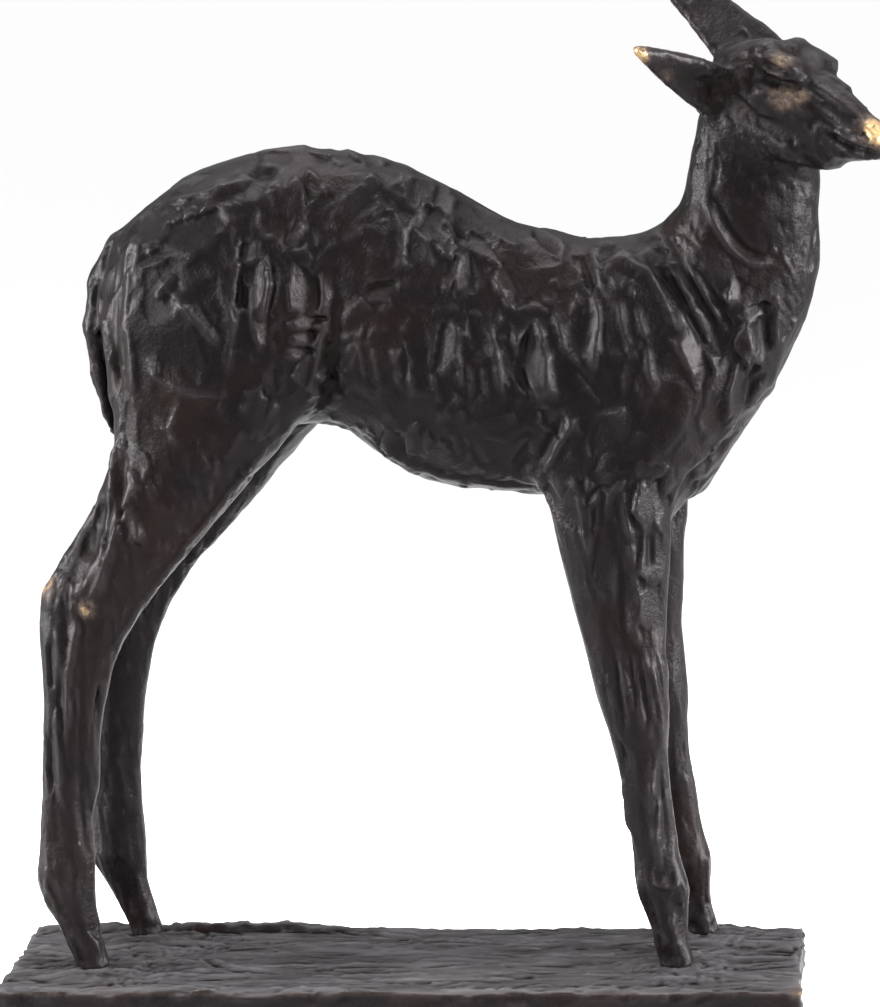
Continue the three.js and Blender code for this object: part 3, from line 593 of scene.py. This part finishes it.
def deer_piece():
    clay = Clay("deer", DEER_VOXEL, 20, SEED)
    regions = Regions(clay)
    rng = clay.rng
    random_strokes(clay, regions, rng)
    named_strokes(clay, regions, rng)
    face(clay, rng)
    for centre in rng.permutation(clay.count)[:BODY_CRUMBS]:
        if regions.thin[centre] or regions.leg[centre]:
            continue
        size = rng.uniform(1.5, 3.5)
        lift, tilt = rng.normal(0, 0.3), rng.normal(0, 0.3, 2)
        clay.dab(centre, rng.normal(size=3), (size, 0.6 * size), lift, tilt, 0.7, 0.0, 3.0, 0.4)
    clay.height = 0.9 * clay.height + 0.1 * clay.around(clay.height)
    outline = 0.85 * (1 - smooth(0.15, 0.5, np.abs(clay.normals[:, 1]))) * ~regions.head
    clay.height += outline * (clay.spread(clay.height, 14) - clay.height)
    far_face = 0.8 * regions.head * smooth(4, 12, -in_head(clay.points)[1])
    clay.height += far_face * (clay.spread(clay.height, 8) - clay.height)
    low = clay.points[:, 2] < HOOF_TOP
    clay.height[low] = 0
    clay.points[low, 2] -= HOOF_SINK
    return clay.finish("deer_bronze", rub_at(clay.points, RUBS))


PLATE_MARKS = [
    Mark("curved gouge", -1.5, 2.0, 0.4, [(-104, 4), (-94, -12), (-82, -21), (-62, -24)]),
    Mark("gouge lip", 1.0, 1.5, -0.4, [(-99, 6), (-90, -9), (-78, -17), (-60, -20)]),
    Mark("back lip", 1.2, 3.5, 0.0, [(-196, 49), (-120, 50), (-71, 50), (-27, 48)]),
    Mark("back groove", -1.2, 2.5, 0.0, [(-192, 44), (-120, 45), (-71, 45), (-30, 43)]),
]
HOOVES = [(-136, -14), (-118, 34), (142, -16), (152, 30)]


def plate_piece():
    clay = Clay("base_plate", PLATE_VOXEL, 3, SEED + 1)
    x, y, z = clay.points.T
    rng = clay.rng
    top = clay.normals[:, 2] > 0.6
    for centre in rng.choice(np.flatnonzero(top), PLATE_STROKES, replace=False):
        turn = rng.normal(0, 0.22)
        along = np.array([math.cos(turn), math.sin(turn), 0])
        tilt = rng.normal(0, 1.0, 2) * (0.5, 1)
        size = rng.uniform((8, 2.4), (24, 5.5))
        clay.dab(centre, along, size, rng.normal(0, 0.2), tilt, 0.85, 0.2, 1.3)
    for hoof in HOOVES:
        gap = np.hypot(x - hoof[0], y - hoof[1])
        for centre in rng.choice(np.flatnonzero(top & (gap < 30)), HOOF_STROKES):
            turn = rng.uniform(0, math.tau)
            along = np.array([math.cos(turn), math.sin(turn), 0])
            lift, tilt = rng.normal(0, 0.3), rng.normal(0, 0.5, 2)
            clay.dab(centre, along, rng.uniform((3, 1.5), (7, 3)), lift, tilt, 0.8, 0.2, 1.4)
    for mark in PLATE_MARKS:
        clay.line(mark, top, clay.points[:, :2])
    sides = np.flatnonzero((np.abs(clay.normals[:, 2]) < 0.5) & (z > 3))
    for centre in rng.choice(sides, EDGE_STROKES):
        size, tilt = rng.uniform((5, 2), (14, 4)), rng.normal(0, 0.15, 2)
        clay.dab(centre, np.array([1.0, 1.0, 0.2]), size, 0.0, tilt, 0.85, 0.0, 0.6)
    clay.height[z < 2.5] = 0
    front = 0.1 * smooth(-50, -53, y) * smooth(9, 11, z)
    corner = 0.3 * smooth(193, 199, x) * smooth(-30, -50, y) * smooth(7, 10, z)
    return clay.finish("plate_bronze", front + corner)


# Materials

class Value:
    """One value in a material's tree. Sums, differences and products add their Math nodes."""

    def __init__(self, finish, socket):
        self.finish = finish
        self.socket = socket

    def math(self, operation, *others):
        return self.finish.node("ShaderNodeMath", {"operation": operation}, [self, *others])

    def __add__(self, other):
        return self.math("ADD", other)

    def __sub__(self, other):
        return self.math("SUBTRACT", other)

    def __mul__(self, other):
        return self.math("MULTIPLY", other)

    def __radd__(self, other):
        return self + other

    def __rmul__(self, other):
        return self * other

    def __rsub__(self, other):
        return self * -1 + other

    def clamped(self):
        return self.finish.node("ShaderNodeClamp", {}, [self])


class Finish:
    """A material and its tree."""

    def __init__(self, name):
        self.material = bpy.data.materials.new(name)
        self.material.use_nodes = True
        self.tree = self.material.node_tree
        self.shader = self.tree.nodes["Principled BSDF"]

    def node(self, kind, settings=None, sockets=(), output=0):
        """Adds a node: its settings first, then its sockets' values or links, by place or by name."""
        node = self.tree.nodes.new(kind)
        for key, value in (settings or {}).items():
            if key == "stops":
                self.set_stops(node.color_ramp, value)
            else:
                setattr(node, key, value)
        pairs = sockets.items() if isinstance(sockets, dict) else enumerate(sockets)
        for key, value in pairs:
            self.feed(node.inputs[key], value)
        return Value(self, node.outputs[output])

    def set_stops(self, ramp, stops):
        while len(ramp.elements) < len(stops):
            ramp.elements.new(1.0)
        for element, (place, colour) in zip(ramp.elements, stops):
            element.position = place
            element.color = (*colour, 1.0)

    def feed(self, socket, value):
        if isinstance(value, Value):
            self.tree.links.new(value.socket, socket)
        else:
            socket.default_value = value

    def noise(self, place, scale, detail, roughness):
        """A cloudy value between 0 and 1."""
        sockets = {"Vector": place, "Scale": scale, "Detail": detail, "Roughness": roughness}
        return self.node("ShaderNodeTexNoise", {}, sockets)

    def mix(self, share, first, second):
        """A colour between two colours."""
        names = {"Factor": share, "A": first, "B": second}
        node = self.tree.nodes.new("ShaderNodeMix")
        node.data_type = "RGBA"
        for socket in node.inputs:
            if socket.enabled and socket.name in names:
                self.feed(socket, names[socket.name])
        return Value(self, next(o for o in node.outputs if o.enabled))


PATINA = {
    "black": (0.0010, 0.0008, 0.0009),
    "dark": (0.0018, 0.0013, 0.0014),
    "brown black": (0.0040, 0.0024, 0.0019),
    "warm": (0.0058, 0.0028, 0.0018, 1),
    "ridge": (0.0105, 0.0088, 0.0095, 1),
    "hollow": (0.0010, 0.0007, 0.0006, 1),
    # Pale purple-grey for the tops: settled dust and a painted sheen of the overhead light
    "dust_and_sheen": (0.062, 0.060, 0.063, 1),
    "worn": (0.036, 0.026, 0.020, 1),
    "dull metal": (0.085, 0.060, 0.040, 1),
    "bright metal": (0.25, 0.172, 0.085, 1),
}
PALE = (0.86, 0.86, 0.86, 1)


def bronze(name, dust_and_sheen):
    """Near-black brown patina with a waxed sheen, browner in its hollows and bare where hands have rubbed."""
    finish = Finish(name)
    node = finish.node
    place = node("ShaderNodeTexCoord", output="Object")
    ridge = node("ShaderNodeAttribute", {"attribute_name": "ridge"}, output="Fac")
    hollow = node("ShaderNodeAttribute", {"attribute_name": "hollow"}, output="Fac")
    rub = node("ShaderNodeAttribute", {"attribute_name": "rub"}, output="Fac")
    upward = node("ShaderNodeAttribute", {"attribute_name": "upward"}, output="Fac")
    broad = finish.noise(place, 14.0, 3.0, 0.5)
    cloud = finish.noise(place, 60.0, 5.0, 0.62)
    grain = finish.noise(place, 520.0, 3.0, 0.65)
    speck = finish.noise(place, 300.0, 4.0, 0.7)
    stops = [(0.3, PATINA["black"]), (0.6, PATINA["dark"]), (0.8, PATINA["brown black"])]
    patina = node("ShaderNodeValToRGB", {"stops": stops}, [cloud])
    warm = ((broad - 0.5) * 5.0 * (0.4 + hollow)).clamped()
    patina = finish.mix(warm, patina, PATINA["warm"])
    patina = finish.mix((ridge * (0.25 + cloud * 0.6)).clamped(), patina, PATINA["ridge"])
    patina = finish.mix((hollow * 0.7).clamped(), patina, PATINA["hollow"])
    stretched = node("ShaderNodeMapping", {}, {"Vector": place, "Scale": (22.0, 110.0, 60.0)})
    wavy = {"Vector": stretched, "Scale": 1.0, "Detail": 4.0, "Distortion": 0.8}
    streak = node("ShaderNodeTexNoise", {}, wavy)
    # Pale purple-grey on the up-facing tops: partly settled dust, partly a painted sheen of the overhead
    # light; the plate gets far more of it than the deer
    settled_dust_and_sheen = upward * (streak * 1.8 - 0.35 + ridge * 0.4 - hollow * 0.6) * dust_and_sheen
    patina = finish.mix(settled_dust_and_sheen.clamped(), patina, PATINA["dust_and_sheen"])
    brown = (rub * (1.5 + (speck - 0.5) * 8.0 + ridge * 0.6 - hollow * 1.4)).clamped()
    patina = finish.mix(brown, patina, PATINA["worn"])
    bare = ((rub - 0.54) * 4.5 + (speck - 0.5) * 4.5 + ridge * 0.8 - hollow * 1.4).clamped()
    bare = bare * (rub * 4.0).clamped()
    bright = ((rub - 0.35) * 2.6).clamped()
    metal = finish.mix(bright, PATINA["dull metal"], PATINA["bright metal"])
    shader = finish.shader
    finish.feed(shader.inputs["Base Color"], finish.mix(bare, patina, metal))
    finish.feed(shader.inputs["Metallic"], bare * 0.9)
    roughness = 0.31 + grain * 0.18 + hollow * 0.2 - ridge * 0.06 + rub * 0.12 + upward * (0.7 * dust_and_sheen)
    finish.feed(shader.inputs["Roughness"], roughness.clamped())
    shader.inputs["IOR"].default_value = 1.5
    shader.inputs["Specular IOR Level"].default_value = 0.065
    shader.inputs["Specular Tint"].default_value = (1.0, 0.93, 0.96, 1)
    marks = {"Vector": place, "Scale": 52.0, "Detail": 4.0, "Roughness": 0.6, "Distortion": 0.5}
    strokes = node("ShaderNodeTexNoise", {"noise_type": "RIDGED_MULTIFRACTAL", "normalize": True}, marks)
    height = grain * 0.42 + cloud * 0.6 + strokes * 1.3
    bump = node("ShaderNodeBump", {}, {"Strength": 0.5, "Distance": 0.0016, "Height": height})
    finish.feed(shader.inputs["Normal"], bump)
    return finish.material


def place_piece(piece, node, material):
    piece.data.materials.clear()
    piece.data.materials.append(material)
    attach(piece, "root")
    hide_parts(node)


place_piece(deer_piece(), "deer", bronze("deer patina", 0.12))
place_piece(plate_piece(), "base_plate", bronze("plate patina", 0.6))


# Stage

def camera():
    yaw, pitch, roll = (math.radians(CAMERA[key]) for key in ("yaw", "pitch", "roll"))
    forward = Vector((-math.sin(yaw) * math.cos(pitch), math.cos(yaw) * math.cos(pitch), -math.sin(pitch)))
    level = Vector((math.cos(yaw), math.sin(yaw), 0))
    upright = level.cross(forward)
    right = math.cos(roll) * level + math.sin(roll) * upright
    up = math.cos(roll) * upright - math.sin(roll) * level
    data = bpy.data.cameras.new("camera")
    data.sensor_width = 36
    data.lens = FOCAL_PIXELS / max(PICTURE) * data.sensor_width
    data.clip_end = 100
    view = bpy.data.objects.new("camera", data)
    turned = Matrix((right, up, -forward)).transposed().to_4x4()
    view.matrix_world = Matrix.Translation(CAMERA["place"]) @ turned
    bpy.context.collection.objects.link(view)
    bpy.context.scene.camera = view


def floor():
    mesh = bpy.data.meshes.new("floor")
    reach = 14.0
    corners = [(-reach, -reach, 0), (reach, -reach, 0), (reach, reach, 0), (-reach, reach, 0)]
    mesh.from_pydata(corners, [], [(0, 1, 2, 3)])
    ground = bpy.data.objects.new("floor", mesh)
    bpy.context.collection.objects.link(ground)
    finish = Finish("pale floor")
    finish.shader.inputs["Base Color"].default_value = PALE
    finish.shader.inputs["Roughness"].default_value = 0.9
    finish.shader.inputs["Specular IOR Level"].default_value = 0.1
    mesh.materials.append(finish.material)


def soft_light(box):
    data = bpy.data.lights.new(box.name, "AREA")
    data.shape = "RECTANGLE"
    data.size, data.size_y = box.size
    data.energy = box.power
    data.spread = math.radians(SPREAD)
    lamp = bpy.data.objects.new(box.name, data)
    lamp.location = box.place
    aim = Vector(box.towards) - Vector(box.place)
    lamp.rotation_euler = aim.to_track_quat("-Z", "Y").to_euler()
    bpy.context.collection.objects.link(lamp)


def lights():
    world = bpy.data.worlds.new("studio")
    world.use_nodes = True
    background = world.node_tree.nodes["Background"]
    background.inputs["Color"].default_value = (1, 1, 1, 1)
    background.inputs["Strength"].default_value = ROOM
    bpy.context.scene.world = world
    sky = bpy.data.lights.new("overhead", "SUN")
    sky.energy = SKY["strength"]
    sky.angle = math.radians(SKY["width"])
    lamp = bpy.data.objects.new("overhead", sky)
    lamp.rotation_euler = (*(math.radians(tilt) for tilt in SKY["tilt"]), 0)
    bpy.context.collection.objects.link(lamp)
    for box in BOXES:
        soft_light(box)


camera()
floor()
lights()
bpy.context.scene.view_settings.view_transform = "Standard"
